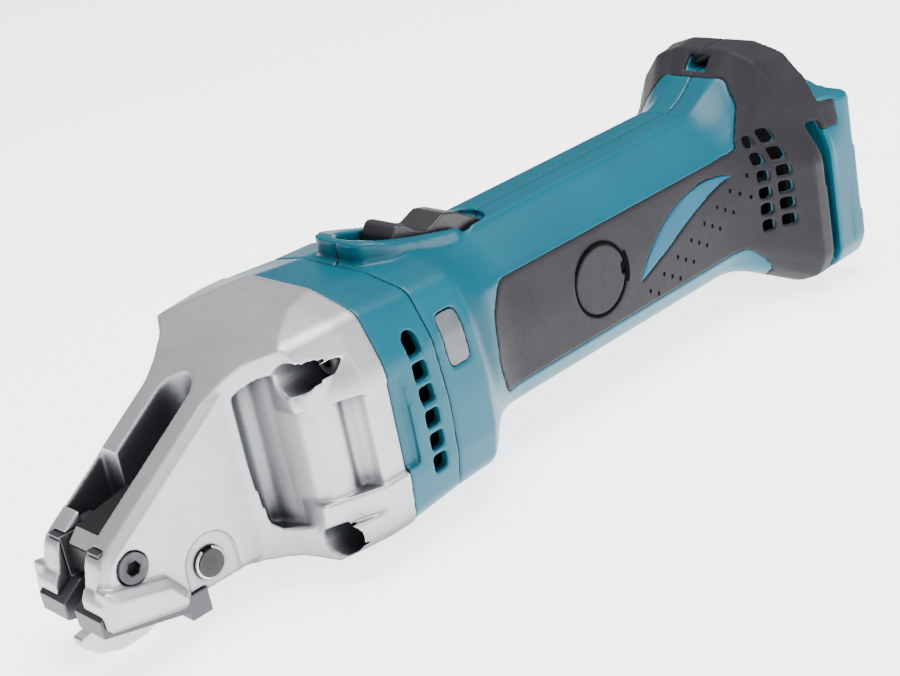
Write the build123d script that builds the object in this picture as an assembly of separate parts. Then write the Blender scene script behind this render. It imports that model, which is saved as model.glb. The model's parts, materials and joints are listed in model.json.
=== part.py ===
from build123d import *
from math import atan2, cos, pi, radians, sin, sqrt, tan
import os

# Cordless double-cut straight shear, bare tool without its battery.
# Millimetres. +X runs forward along the motor axis, +Y is the tool's left, +Z is up.
# The origin is where the motor axis meets the plane of the flat rear face of the battery seat.

# Driving lengths along the tool
GRIP_REAR = 52.0        # where the foot's flare meets the grip
GRIP_FRONT = 152.0      # where the grip starts to widen into the neck
CREASE_X = 180.0        # shoulder at the rear of the wide front end
COVER_X = 195.0         # seam between the housing halves and the front cover
HEAD_X = 213.7          # joint between the front cover and the cast head
GUIDE_X = 12.0          # front of the battery guide, where the taller flange starts
FLANGE_X = 24.0         # front of the foot's flange
WALL = 2.6              # plastic wall
SKIN = 1.6              # thickness of the soft overmoulded skin

# Switch
FLOOR_Z = 27.4          # floor of the switch recess
SWITCH_HALF = 8.2       # half width of the recess

# Motor
MOTOR_R = 21.4
SHAFT_R = 3.5
BRUSH_X = 114.0
COMMUTATOR_R = 10.0
CAP_R = 11.6            # brush cap
FAN_R = 29.0

# Gears and crank
GEAR_MODULE = 0.6
PINION_TEETH = 12
CRANK_TEETH = 38
CRANK_Z = GEAR_MODULE * (PINION_TEETH + CRANK_TEETH) / 2
ECCENTRIC = 1.5         # throw of the crank pin
PIN_R = 2.0
ROLLER_R = 2.8
FORK_GAP = 6.3          # half height of the fork's slot: roller, throw, swing and clearance
FORK_WALL = 2.0         # thickness of each prong
RUN_GAP = 0.05          # radial clearance of a running fit

# Cutting head
LEG_OUT = 16.0          # outer face of each leg
LEG_IN = 6.5            # inner face of each leg
BLADE_HALF = 2.2        # half thickness of the centre blade's jaw
SIDE_IN = 2.5           # inner face of each side blade
PIVOT = (267.6, -20.8)  # blade pivot, X and Z
BOLT = (290.2, -10.0)   # side-blade bolt, X and Z
BLADE_OUT = 15.2        # outer face of each side blade
LUG_OUT = 12.4          # outer face of a side blade's lug
SEAT_X = 222.0          # seats of the head screws
HEAD_SCREWS = [(29.2, 23.0), (-29.2, 23.0), (32.6, -26.0), (-32.6, -26.0)]
CONTACT_Y = (-10.0, 0.0, 10.0)

# Cross sections, from the top middle down one side to the bottom middle: (Y, Z), corner radius
GRIP_SECTION = [(9.2, 28.7, 2.0), (15.5, 23.9, 30), (23.6, 16.9, 5), (25.1, 0.0, 60), (24.6, -17.2, 5),
                (20.0, -24.0, 12), (15.5, -27.2, 8)]
GUIDE_SECTION = [(12.5, 37.6, 5), (18.0, 33.6, 5), (23.0, 28.2, 5), (28.5, 26.0, 4), (40.0, 25.4, 3),
                 (41.6, -27.0, 10), (38.2, -33.4, 5), (30.0, -36.8, 14)]
FOOT_SECTION = [(14.0, 44.8, 14), (26.5, 41.5, 8), (35.5, 33.0, 9), (41.2, 23.0, 12), (41.6, -27.0, 10),
                (38.2, -33.4, 5), (30.0, -36.8, 14)]
CREASE_SECTION = [(14.0, 33.6, 14), (31.5, 30.6, 7), (37.8, 17.5, 16), (39.9, -1.0, 40), (39.1, -17.0, 16),
                  (36.4, -28.5, 7), (24.0, -33.6, 14)]
COVER_SECTION = [(14.0, 34.2, 14), (31.0, 31.2, 7), (37.8, 17.8, 16), (40.0, -1.0, 40), (39.3, -17.0, 16),
                 (36.8, -28.8, 7), (24.0, -34.4, 14)]
HEAD_SECTION = [(14.0, 37.0, 14), (31.0, 32.8, 7), (38.4, 18.0, 16), (40.2, -1.0, 40), (39.8, -17.0, 16),
                (38.4, -30.0, 7), (25.0, -36.9, 14)]
FRONT_SECTION = [(9.0, 35.6, 14), (25.5, 31.0, 8), (33.2, 16.0, 14), (35.0, -1.0, 40), (35.2, -17.0, 16),
                 (34.5, -27.5, 7), (23.0, -33.6, 14)]
PAD_TIP = [(9.0, 34.0, 14), (20.0, 30.5, 8), (28.6, 17.5, 8), (31.0, -1.0, 40), (31.6, -15.0, 8),
           (30.0, -26.5, 6), (20.0, -33.0, 14)]


def blend_section(first, second, share):
    """A section part of the way from one to another; share 0 gives the first."""
    return [tuple(a + (b - a) * share for a, b in zip(p, q)) for p, q in zip(first, second)]


def shrink(section, wall):
    """The section moved inwards by about one wall thickness."""
    wide = max(p[0] for p in section)
    tall = max(abs(p[1]) for p in section)
    return [(y * (1 - wall / wide), z * (1 - wall / tall), max(r - wall / 2, 0.8)) for y, z, r in section]


def ring(x, section):
    """Closed face across the tool at x."""
    half = [(y, z) for y, z, r in section]
    radii = [r for y, z, r in section]
    points = half + [(-y, z) for y, z in reversed(half)]
    line = FilletPolyline(*points, radius=limit_radii(points, radii + radii[::-1]), close=True)
    return Plane(origin=(x, 0, 0), x_dir=(0, 1, 0), z_dir=(1, 0, 0)) * make_face(line)


def limit_radii(points, radii):
    """Corner radii reduced where an arc would not fit on its two sides."""
    count = len(points)
    result = []
    for i, radius in enumerate(radii):
        before = Vector(*points[i - 1])
        here = Vector(*points[i])
        after = Vector(*points[(i + 1) % count])
        turn = (here - before).get_angle(after - here)
        room = 0.46 * min((here - before).length, (after - here).length)
        result.append(min(radius, room / tan(radians(turn) / 2)))
    return result


def rings(stations):
    """Smooth solid through faces given as (x, section)."""
    return loft([ring(x, section) for x, section in stations])


def side_plate(points, y_low, y_high, taper=0.0):
    """Outline in X and Z made into a plate between two Y values; taper narrows it towards y_high."""
    plane = Plane(origin=(0, y_low, 0), x_dir=(-1, 0, 0), z_dir=(0, 1, 0))
    face = plane * make_face(Polyline(*[(-x, z) for x, z in points], close=True))
    return extrude(face, y_high - y_low, taper=taper)


def round_plate(points, radii, y_low, y_high, taper=0.0):
    """As side_plate, with rounded corners."""
    plane = Plane(origin=(0, y_low, 0), x_dir=(-1, 0, 0), z_dir=(0, 1, 0))
    line = FilletPolyline(*[(-x, z) for x, z in points], radius=radii, close=True)
    return extrude(plane * make_face(line), y_high - y_low, taper=taper)


def plan_plate(points, radii, z_low, z_high):
    """Outline in X and Y made into a plate between two Z values."""
    line = FilletPolyline(*points, radius=radii, close=True)
    return extrude(Pos(0, 0, z_low) * make_face(line), z_high - z_low)


def front_plate(points, radii, x_low, x_high):
    """Outline in Y and Z made into a plate between two X values."""
    line = FilletPolyline(*points, radius=radii, close=True)
    face = Plane(origin=(x_low, 0, 0), x_dir=(0, 1, 0), z_dir=(1, 0, 0)) * make_face(line)
    return extrude(face, x_high - x_low)


def rod_x(x_low, x_high, radius, y=0.0, z=0.0):
    """Round bar along X."""
    return Pos((x_low + x_high) / 2, y, z) * Rot(0, 90, 0) * Cylinder(radius, x_high - x_low)


def rod_y(y_low, y_high, radius, x=0.0, z=0.0):
    """Round bar along Y."""
    return Pos(x, (y_low + y_high) / 2, z) * Rot(90, 0, 0) * Cylinder(radius, y_high - y_low)


def rod_z(z_low, z_high, radius, x=0.0, y=0.0):
    """Round bar along Z."""
    return Pos(x, y, (z_low + z_high) / 2) * Cylinder(radius, z_high - z_low)


def tube_x(x_low, x_high, inner, outer, y=0.0, z=0.0):
    """Round tube along X."""
    return rod_x(x_low, x_high, outer, y, z) - rod_x(x_low - 1, x_high + 1, inner, y, z)


def block(low, high):
    """Box between two corners."""
    size = [b - a for a, b in zip(low, high)]
    middle = [(a + b) / 2 for a, b in zip(low, high)]
    return Pos(*middle) * Box(*size)


def flip(shape):
    """The same shape on the other side of the middle plane."""
    return mirror(shape, about=Plane.XZ)


# ---------------------------------------------------------------- outer form of the plastic body

def body_form(wall=0.0):
    """Foot, grip, neck and front end as one closed form, moved inwards by wall."""
    guide = shrink(GUIDE_SECTION, wall) if wall else GUIDE_SECTION
    foot = shrink(FOOT_SECTION, wall) if wall else FOOT_SECTION
    grip = shrink(GRIP_SECTION, wall) if wall else GRIP_SECTION
    crease = shrink(CREASE_SECTION, wall) if wall else CREASE_SECTION
    cover = shrink(COVER_SECTION, wall) if wall else COVER_SECTION
    flare_steps = [0.0, 0.035, 0.15, 0.36, 0.66, 1.0]
    flare = []
    for i, share in enumerate(flare_steps):
        x = GRIP_REAR - (GRIP_REAR - FLANGE_X) * i / (len(flare_steps) - 1)
        flare.append((x, blend_section(grip, foot, share)))
    neck_steps = [0.0, 0.05, 0.19, 0.43, 0.74, 1.0]
    neck = []
    for i, share in enumerate(neck_steps):
        x = GRIP_FRONT + (CREASE_X - GRIP_FRONT) * i / (len(neck_steps) - 1)
        neck.append((x, blend_section(grip, crease, share)))
    form = extrude(ring(GUIDE_X + wall, foot), FLANGE_X - GUIDE_X - wall)
    form += extrude(ring(wall, guide), GUIDE_X)
    form += rings(flare)
    form += extrude(ring(GRIP_REAR, grip), GRIP_FRONT - GRIP_REAR)
    form += rings(neck)
    form += rings([(CREASE_X, crease), (COVER_X, cover)])
    return form


def switch_surround():
    """Raised oval wall round the switch recess, higher at its front."""
    outline = [(193, -9.5), (193, 9.5), (185, 15.0), (172, 13.5), (156, 11.0), (150, 6.5), (150, -6.5),
               (156, -11.0), (172, -13.5), (185, -15.0)]
    wall = plan_plate(outline, [5.5, 5.5, 9, 14, 6, 5, 5, 6, 14, 9], 20, 46)
    slope = side_plate([(140, 15), (140, 29.6), (152, 30.4), (172, 35.2), (183, 38.4), (189, 40.4),
                        (194, 41.0), (194, 15)], -20, 20)
    return wall & slope


def switch_recess():
    """Recess in which the button slides, with the slot for its link in the floor."""
    corners = [(190, -SWITCH_HALF), (190, SWITCH_HALF), (138, SWITCH_HALF), (138, -SWITCH_HALF)]
    opening = plan_plate(corners, 7.6, FLOOR_Z, 60)
    return opening + block((151.5, -3.2, 20), (177.0, 3.2, FLOOR_Z + 1))


def grip_ribs():
    """Two raised lines along the top of the grip, ending in rounded noses at the foot."""
    rail = side_plate([(44, 26), (44, 28.6), (48, 29.6), (148, 29.6), (152, 28.4), (152, 26)], -9.6, 9.6)
    return rail


def strap_slot():
    """Strap slot, front to back through the crown of the foot's flange."""
    return block((9, -5.5, 38.4), (34, 5.5, 43.2))


def battery_bay():
    """Space that the battery's head slides into, from below and from the rear."""
    bay = block((-1, -29.0, -60), (10.0, 29.0, 24.0))
    bay += block((3.4, -33.5, -60), (10.0, 33.5, 24.0))
    return bay


def side_vents():
    """Air inlets in both sides of the flare: two columns of six."""
    cuts = None
    for column, x in enumerate((31.0, 36.4)):
        for row in range(6):
            z = 18.6 - 5.8 * row - 0.8 * column
            width = 4.0 - 0.4 * column
            slot = block((x - width / 2, 15, z - 1.9), (x + width / 2, 60, z + 1.9))
            cuts = slot if cuts is None else cuts + slot
    return cuts + flip(cuts)


def tongue_zones():
    """Parts of the flare that stay hard plastic: above and below the grip."""
    top = front_plate([(25.0, 16.6), (22.9, 29.0), (16.0, 37.2), (-16.0, 37.2), (-22.9, 29.0), (-25.0, 16.6)],
                      [1.0, 6, 7, 7, 6, 1.0], 26.6, GRIP_REAR + 8)
    low = front_plate([(25.4, -17.2), (27.2, -28.0), (20.0, -33.5), (-20.0, -33.5), (-27.2, -28.0),
                       (-25.4, -17.2)], [1.0, 4, 9, 9, 4, 1.0], 29.0, GRIP_REAR + 8)
    return top + low


def skin_zone():
    """Side outline of the soft skin on the grip, made as deep as the tool is wide."""
    panel = round_plate([(46, 16.6), (154.5, 16.6), (161.5, 7.0), (164.2, -5.0), (161.5, -17.2),
                         (46, -17.2)], [0.5, 6, 12, 10, 3, 0.5], -50, 50)
    flare = block((18.6, -50, -50), (GRIP_REAR, 50, 50)) + block((GUIDE_X, -50, 24), (20, 50, 50))
    flare += block((6.4, 36.5, 15.6), (20, 50, 24.2)) + block((6.4, -50, 15.6), (20, -36.5, 24.2))
    return panel + flare - (tongue_zones() & block((0, -50, -50), (GRIP_REAR, 50, 50)))


def housing_parts():
    """Left and right hard housing, left and right soft skin, and the two let-in accents."""
    half = block((-5, 0, -80), (260, 80, 80))
    outer = (body_form() & half) + ((switch_surround() + grip_ribs()) & half)
    inner = body_form(WALL) & block((12.6, 0, -80), (COVER_X + 1, 80, 80))
    inner -= block((150, -1, FLOOR_Z - 1.6), (191.6, SWITCH_HALF + 1.4, 50))
    inner -= block((GUIDE_X, -1, 35.6), (34, 8, 50))
    under_skin = body_form(SKIN) & half
    outer -= switch_recess()
    outer -= strap_slot()
    outer -= battery_bay()
    outer -= side_vents()
    outer -= foot_grooves()
    shell = outer - inner - cover_overlap()
    shell += inner_ribs(inner)
    shell += rod_y(18.5, 22.8, CAP_R + 2.2, BRUSH_X, 0)
    shell -= rod_y(-60, 60, CAP_R + 0.15, BRUSH_X, 0)
    shell -= block((9, -21.0, -24.0), (16, 21.0, 15.0))
    skin = (outer - under_skin) & (skin_zone() & half)
    skin -= rod_y(-60, 60, CAP_R + 0.15, BRUSH_X, 0)
    hard = shell - skin
    accent = skin & accent_zone()
    skin -= accent_zone()
    right = flip(hard)
    left = hard - lens_pocket()
    return {
        "left_housing": left - housing_screw_cuts(),
        "right_housing": right - housing_screw_cuts(),
        "left_grip_rubber": skin,
        "right_grip_rubber": flip(skin) - housing_screw_cuts(),
        "left_grip_accent": accent,
        "right_grip_accent": flip(accent),
    }


def foot_grooves():
    """Deep slot between the soft skin and the battery seat, and a fine line behind it."""
    cut = None
    for side in (1, -1):
        low, high = sorted((side * 36.5, side * 60))
        slot = block((13.4, low, -33.0), (18.6, high, 19.0))
        low, high = sorted((side * 40.8, side * 60))
        line = block((5.4, low, -33.0), (6.4, high, 24.0))
        strip = block((6.4, sorted((side * 41.0, side * 60))[0], -60),
                      (13.4, sorted((side * 41.0, side * 60))[1], 15.6))
        piece = slot + line + strip
        cut = piece if cut is None else cut + piece
    return cut


def cover_overlap():
    """Clears the housing where the front cover begins."""
    return block((COVER_X, -60, -60), (COVER_X + 10, 60, 60)) - switch_lip_zone()


def switch_lip_zone():
    """The switch surround reaches over the front cover; that lip belongs to the housing."""
    return block((COVER_X - 1, -14, 34.6), (198, 14, 60))


def accent_zone():
    """Plain crescent let into the skin on both sides of the grip."""
    upper = Spline((97.0, -8.5), (85.0, 4.2), (70.0, 11.0), (46.0, 9.5))
    lower = Spline((46.0, 9.5), (66.0, 4.6), (82.0, -2.2), (97.0, -8.5))
    outline = Plane(origin=(0, 50, 0), x_dir=(1, 0, 0), z_dir=(0, -1, 0)) * make_face(upper + lower)
    return extrude(outline, 100)


def inner_ribs(inner):
    """Bulkheads that hold the motor can, its rear bearing and the switch."""
    ribs = None
    for x, hole in ((92.6, 6.0), (96.0, 9.5), (131.0, MOTOR_R), (166.0, MOTOR_R)):
        wide = 2.4 if hole < MOTOR_R else 3.0
        plate = block((x, -40, -40), (x + wide, 40, 40)) & inner
        plate -= rod_x(x - 1, x + wide + 1, hole)
        ribs = plate if ribs is None else ribs + plate
    for x in (42.0, 88.0):
        plate = block((x, -30, -30), (x + 2, 30, 30)) & inner
        plate -= block((x - 1, -12.3, -13.5), (x + 3, 12.3, 13.5))
        plate -= block((x - 1, -6.5, -40), (x + 3, 6.5, 40))
        ribs += plate
    ribs -= block((0, -6.5, 18), (COVER_X + 5, 6.5, 27.0))
    return ribs


def screw_places():
    """Centres of the housing screws, X and Z."""
    return [(60.0, 20.0), (60.0, -21.5), (148.0, -24.3), (182.0, 26.0), (182.0, -27.5), (17.5, 30.0)]


def housing_screw_cuts():
    """Clearance for the screws that close the two halves."""
    cuts = None
    for x, z in screw_places():
        cut = rod_y(-60, -7.6, 3.1, x, z) + rod_y(-8, 9.0, 1.5, x, z)
        cuts = cut if cuts is None else cuts + cut
    return cuts


def housing_screws():
    """Pan-head tapping screws, put in from the right side."""
    screws = []
    for x, z in screw_places():
        head = rod_y(-9.8, -7.6, 2.8, x, z)
        head -= Pos(x, -9.6, z) * Box(3.2, 1.4, 0.9)
        head -= Pos(x, -9.6, z) * Box(0.9, 1.4, 3.2)
        screws.append(head + rod_y(-7.8, 8.5, 1.5, x, z))
    return screws


# ---------------------------------------------------------------- front cover, lens and brush gear

def cover_form(wall=0.0):
    """Outer form of the front cover, which carries the fan's exhaust vents."""
    rear = shrink(COVER_SECTION, wall) if wall else COVER_SECTION
    front = shrink(blend_section(COVER_SECTION, HEAD_SECTION, 0.75), wall)
    return rings([(COVER_X, rear), (HEAD_X, front)])


def front_cover():
    """Ring between housing and head, with six exhaust vents on each side."""
    cover = cover_form() - cover_form(3.2)
    cover += (rod_x(209.0, HEAD_X, 38.0) & cover_form(0.5))
    cover -= rod_x(206.6, 230, 33.05)
    for row in range(6):
        z = 18.2 - 7.0 * row
        vent = block((199.4, -60, z - 2.6), (204.6, 60, z + 2.6))
        if row == 0:
            vent += rod_y(-60, 60, 2.6, 202.0, z + 2.0)
        cover -= vent
    for side in (1, -1):
        low, high = sorted((side * 37.9, side * 60))
        cover -= block((209.0, low, -13.5), (HEAD_X + 1, high, 13.5))
    cover -= switch_lip_zone()
    for y, z in HEAD_SCREWS:
        cover += (rod_x(204.0, HEAD_X, 4.0, y, z) & cover_form(0.5))
    for y, z in HEAD_SCREWS:
        cover -= rod_x(203, HEAD_X + 1, 1.9, y, z)
    return cover


def lens_pocket():
    """Window and seat of the job light in the left side of the housing."""
    window = round_plate([(183.3, 22.5), (191.2, 22.5), (191.2, 7.2), (183.3, 7.2)], 2.0, 32, 60)
    return window


def light_lens():
    """Rounded window, flush with the housing."""
    lens = round_plate([(183.4, 22.4), (191.1, 22.4), (191.1, 7.3), (183.4, 7.3)], 1.9, 34.9, 60)
    lens -= rod_y(30, 35.7, 2.0, 187.3, 15.0)
    return lens & rings([(CREASE_X, shrink(CREASE_SECTION, 0.3)), (COVER_X, shrink(COVER_SECTION, 0.3))])


def light_holder():
    """Black carrier behind the lens, reaching in from the wall."""
    return block((183.2, 31.2, 9.0), (191.8, 33.9, 18.6))


def light_led():
    """White diode on the carrier."""
    return rod_y(33.9, 35.4, 1.8, 187.3, 15.0)


def brush_holder(side):
    """Square brass tube that guides one carbon brush."""
    tube = block((BRUSH_X - 4.4, 11.0, -3.4), (BRUSH_X + 4.4, 20.4, 3.4))
    tube += rod_y(17.3, 18.5, CAP_R + 2.0, BRUSH_X, 0)
    tube -= block((BRUSH_X - 3.4, 10, -2.4), (BRUSH_X + 3.4, 21, 2.4))
    return tube if side > 0 else flip(tube)


def carbon_brush(side):
    """Carbon block with its face hollowed to the commutator."""
    brush = block((BRUSH_X - 3.25, 9.0, -2.25), (BRUSH_X + 3.25, 16.0, 2.25))
    brush -= rod_x(BRUSH_X - 5, BRUSH_X + 5, COMMUTATOR_R + RUN_GAP)
    return brush if side > 0 else flip(brush)


def brush_spring(side):
    """Small coil spring between the brush and its cap."""
    wire = 0.45
    path = Helix(1.15, 3.6, 1.6, center=(BRUSH_X, 16.5, 0), direction=(0, 1, 0))
    profile = Plane(origin=path @ 0, z_dir=path % 0) * Circle(wire / 2)
    coil = sweep(profile, path=path)
    return coil if side > 0 else flip(coil)


def brush_cap(side):
    """Round screw-in cap, with a screwdriver notch at its rear edge."""
    cap = rod_y(20.6, 24.75, CAP_R - 0.55, BRUSH_X, 0)
    cap += rod_y(20.6, 23.4, CAP_R, BRUSH_X, 0)
    cap = cap - block((BRUSH_X - CAP_R - 1, 22.9, -2.1), (BRUSH_X - CAP_R + 2.1, 26, 2.1))
    cap = cap - rod_y(20.5, 21.6, 6.0, BRUSH_X, 0)
    return cap if side > 0 else flip(cap)


# ---------------------------------------------------------------- motor

def bearing(x_low, width, inner, outer, z=0.0):
    """Ball bearing: two rings with raceway, and the shielded ball row between them."""
    third = (outer - inner) / 3
    inner_ring = tube_x(x_low, x_low + width, inner + RUN_GAP, inner + third, 0, z)
    outer_ring = tube_x(x_low, x_low + width, outer - third, outer, 0, z)
    shield = tube_x(x_low + 0.5, x_low + width - 0.5, inner + third, outer - third, 0, z)
    return [inner_ring, outer_ring, shield]


def stator_can():
    """Rolled steel can of the motor."""
    return tube_x(128.4, 173.0, MOTOR_R - 1.9, MOTOR_R)


def stator_magnets():
    """Four curved magnets fixed inside the can."""
    ring_form = tube_x(131.0, 169.0, 16.9, MOTOR_R - 1.9)
    magnets = []
    for i in range(4):
        angle = 45 + 90 * i
        wedge = Rot(angle, 0, 0) * block((120, 0, -14.2), (180, 40, 14.2))
        magnets.append(ring_form & wedge)
    return magnets


def motor_shaft():
    """Armature shaft with the pinion teeth cut on its front end."""
    shaft = rod_x(94.6, 101.4, 3.0)
    shaft += rod_x(101.4, 214.2, SHAFT_R)
    shaft += gear_x(PINION_TEETH, 214.2, 221.6, 0.0)
    return shaft


def armature_core():
    """Stack of steel sheets with twelve winding slots."""
    core = rod_x(130.0, 166.0, 16.2) - rod_x(129, 167, SHAFT_R)
    for i in range(12):
        slot = block((129, -1.9, 8.5), (167, 1.9, 13.6)) + block((129, -0.9, 13), (167, 0.9, 20))
        core -= Rot(30 * i, 0, 0) * slot
    return core


def armature_windings():
    """Copper coils in the slots, with the bundles at both ends."""
    coils = tube_x(122.4, 129.9, 5.4, 14.6) + tube_x(166.1, 172.6, 5.4, 14.6)
    coils = fillet(coils.edges().filter_by(GeomType.CIRCLE).group_by(SortBy.RADIUS)[-1], 2.4)
    for i in range(12):
        coils += Rot(30 * i, 0, 0) * block((129.5, -1.8, 8.7), (166.5, 1.8, 13.4))
    return coils


def commutator():
    """Segmented copper commutator on its bush."""
    body = rod_x(105.0, 121.0, COMMUTATOR_R) - rod_x(104, 122, SHAFT_R)
    body += tube_x(119.0, 122.0, SHAFT_R, 11.6)
    for i in range(24):
        body -= Rot(15 * i, 0, 0) * block((104.5, -0.3, COMMUTATOR_R - 0.8), (118.6, 0.3, COMMUTATOR_R + 1))
    return body


def cooling_fan():
    """Radial fan: hub, back plate and sixteen swept blades."""
    fan = tube_x(191.0, 205.5, SHAFT_R, 7.0) + tube_x(203.5, 205.5, SHAFT_R, FAN_R)
    for i in range(16):
        blade = Pos(0, 0, 0) * block((193.0, -0.6, 15.0), (204.0, 0.6, 28.6))
        blade = Pos(0, 6.0, 0) * (Rot(14, 0, 0) * blade)
        fan += Rot(22.5 * i, 0, 0) * blade
    return fan


def baffle():
    """Air guide that seats on the motor can and feeds the fan through its centre."""
    plate = tube_x(188.4, 190.4, 19.9, 29.4) + tube_x(173.0, 188.4, 19.9, MOTOR_R)
    return plate - block((180, -10.2, 24.6), (200, 10.2, 40))


# ---------------------------------------------------------------- gears and crank

def gear_outline(teeth, turn):
    """Corner points of a straight-cut gear with stub involute teeth."""
    pitch_r = GEAR_MODULE * teeth / 2
    base_r = pitch_r * cos(radians(20))
    tip_r = pitch_r + 0.8 * GEAR_MODULE
    root_r = pitch_r - 1.05 * GEAR_MODULE
    half_angle = pi / (2 * teeth) - 0.045 / pitch_r
    roll = sqrt((pitch_r / base_r) ** 2 - 1)
    pitch_involute = roll - atan2(roll, 1)
    points = []
    for i in range(teeth):
        middle = 2 * pi * i / teeth + turn
        flank = []
        for step in range(4):
            radius = max(base_r, root_r) + (tip_r - max(base_r, root_r)) * step / 3
            here = sqrt(max((radius / base_r) ** 2 - 1, 0.0))
            flank.append((radius, half_angle + pitch_involute - (here - atan2(here, 1))))
        edge = flank if root_r >= base_r else [(root_r, flank[0][1])] + flank
        for radius, offset in edge:
            points.append((radius * cos(middle - offset), radius * sin(middle - offset)))
        for radius, offset in reversed(edge):
            points.append((radius * cos(middle + offset), radius * sin(middle + offset)))
    return points


def gear_x(teeth, x_low, x_high, turn, z=0.0):
    """Straight-cut gear blank along X, without its bore."""
    outline = Polyline(*gear_outline(teeth, turn), close=True)
    plane = Plane(origin=(x_low, 0, z), x_dir=(0, 1, 0), z_dir=(1, 0, 0))
    return extrude(plane * make_face(outline), x_high - x_low)


def crank_gear():
    """Large gear keyed to the crankshaft; a tooth gap faces the pinion at rest."""
    gap_down = pi / CRANK_TEETH - pi / 2
    gear = gear_x(CRANK_TEETH, 215.2, 221.2, gap_down, CRANK_Z)
    gear -= rod_x(215, 222, 4.5, 0, CRANK_Z)
    gear -= tube_x(214, 216.6, 6.6, 9.6, 0, CRANK_Z)
    gear -= tube_x(219.8, 222, 6.6, 9.6, 0, CRANK_Z)
    return gear


def crankshaft():
    """Shaft with its eccentric pin at the front."""
    shaft = rod_x(206.8, 214.2, 3.0, 0, CRANK_Z) + rod_x(214.2, 221.6, 4.5, 0, CRANK_Z)
    shaft += rod_x(221.6, 228.4, 6.0, 0, CRANK_Z)
    shaft += rod_x(228.4, 236.4, PIN_R, ECCENTRIC, CRANK_Z)
    return shaft


def crank_roller():
    """Hardened sleeve that turns on the eccentric pin inside the fork."""
    return tube_x(230.2, 235.8, PIN_R + RUN_GAP, ROLLER_R, ECCENTRIC, CRANK_Z)


def crank_rear_bush():
    """Needle bush in the bearing plate."""
    return tube_x(207.2, 213.2, 3.0 + RUN_GAP, 4.5, 0, CRANK_Z)


def bearing_plate():
    """Aluminium plate that carries the motor's front bearing and the crank's rear bush."""
    plate = rod_x(206.8, HEAD_X, 33.0) - rod_x(206, 215, 9.5)
    plate -= tube_x(206.5, 211.0, 24.0, 30.0)
    plate -= rod_x(206, 215, 4.5, 0, CRANK_Z)
    for y, z in HEAD_SCREWS:
        plate -= rod_x(203, HEAD_X + 1, 4.1, y, z)
    return plate


# ---------------------------------------------------------------- cast head, blades and their hardware

def head_side():
    """Side outline of the cast head."""
    return [(HEAD_X, -37.2), (HEAD_X, 37.2), (225.0, 36.2), (236.0, 33.4), (246.8, 28.2),
            (294.6, -2.9), (298.0, -5.4), (299.8, -11.7), (301.0, -22.9), (278.0, -28.9), (256.0, -28.9),
            (242.0, -30.6), (232.0, -34.6), (223.0, -37.2)]


def head_blank():
    """Rear body of the casting, from the joint face to the root of the legs."""
    band = [(HEAD_X, 42), (229.0, 41), (235.5, 34.5), (239.0, 27.5), (243.5, 21.0), (249.5, 16.6), (257.0, 13.4)]
    body = plan_plate(*mirrored_plan(band, [0.4, 8, 6, 8, 10, 8, 0.4]), -45, 45)
    body &= crown_envelope() & side_plate(head_side(), -60, 60)
    for side in (1, -1):
        low, high = sorted((side * 38.2, side * 60))
        body -= block((HEAD_X - 1, low, -14.0), (224.0, high, 14.0))
    return body


def scoops():
    """Hollows in both sides of the casting, round an upright post behind them."""
    waist = [(HEAD_X, 42), (220.6, 42), (222.6, 35.4), (225.2, 31.5), (228.6, 34.0), (234.6, 33.0), (237.8, 28.4),
             (239.8, 20.5), (242.0, 14.6), (244.6, 12.6), (247.4, 14.0), (249.2, 16.6), (268.0, 16.6)]
    kept = plan_plate(*mirrored_plan(waist, [0.4, 1, 2.5, 2.5, 3, 4, 5, 6, 3, 3, 3, 1, 0.4]), -45, 45)
    outline = [(219.0, -21.5), (245.0, -21.5), (247.6, -18.0), (249.4, 0.0), (250.2, 20.0), (242.0, 24.5), (219.0, 25.0)]
    zone = round_plate(outline, limit_radii(outline, [0.5, 4, 6, 30, 6, 10, 0.5]), -60, 60)
    return zone - kept


def mirrored_plan(points, radii):
    """Outline on both sides of the middle from the points of one side, and its corner radii."""
    outline = points + [(x, -y) for x, y in reversed(points)]
    return outline, limit_radii(outline, radii + radii[::-1])


def crown_envelope():
    """Rounded form that trims the rear body of the casting."""
    return extrude(ring(HEAD_X, HEAD_SECTION), 8.3) + rings([(222.0, HEAD_SECTION), (270.0, FRONT_SECTION)])


def corner_pads():
    """Bosses round the four head screws, with sloping fronts that open the screw pockets."""
    pads = None
    for side in (1, -1):
        for near, low, high, front in ((18.0, 13.5, 60.0, 239.6), (22.5, -60.0, -14.0, 239.2)):
            y_low, y_high = sorted((side * near, side * 60))
            pad = block((HEAD_X, y_low, low), (front, y_high, high))
            pads = pad if pads is None else pads + pad
    envelope = extrude(ring(HEAD_X, HEAD_SECTION), 8.3) + rings([(222.0, HEAD_SECTION), (241.0, PAD_TIP)])
    return pads & envelope & side_plate(head_side(), -60, 60)


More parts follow.
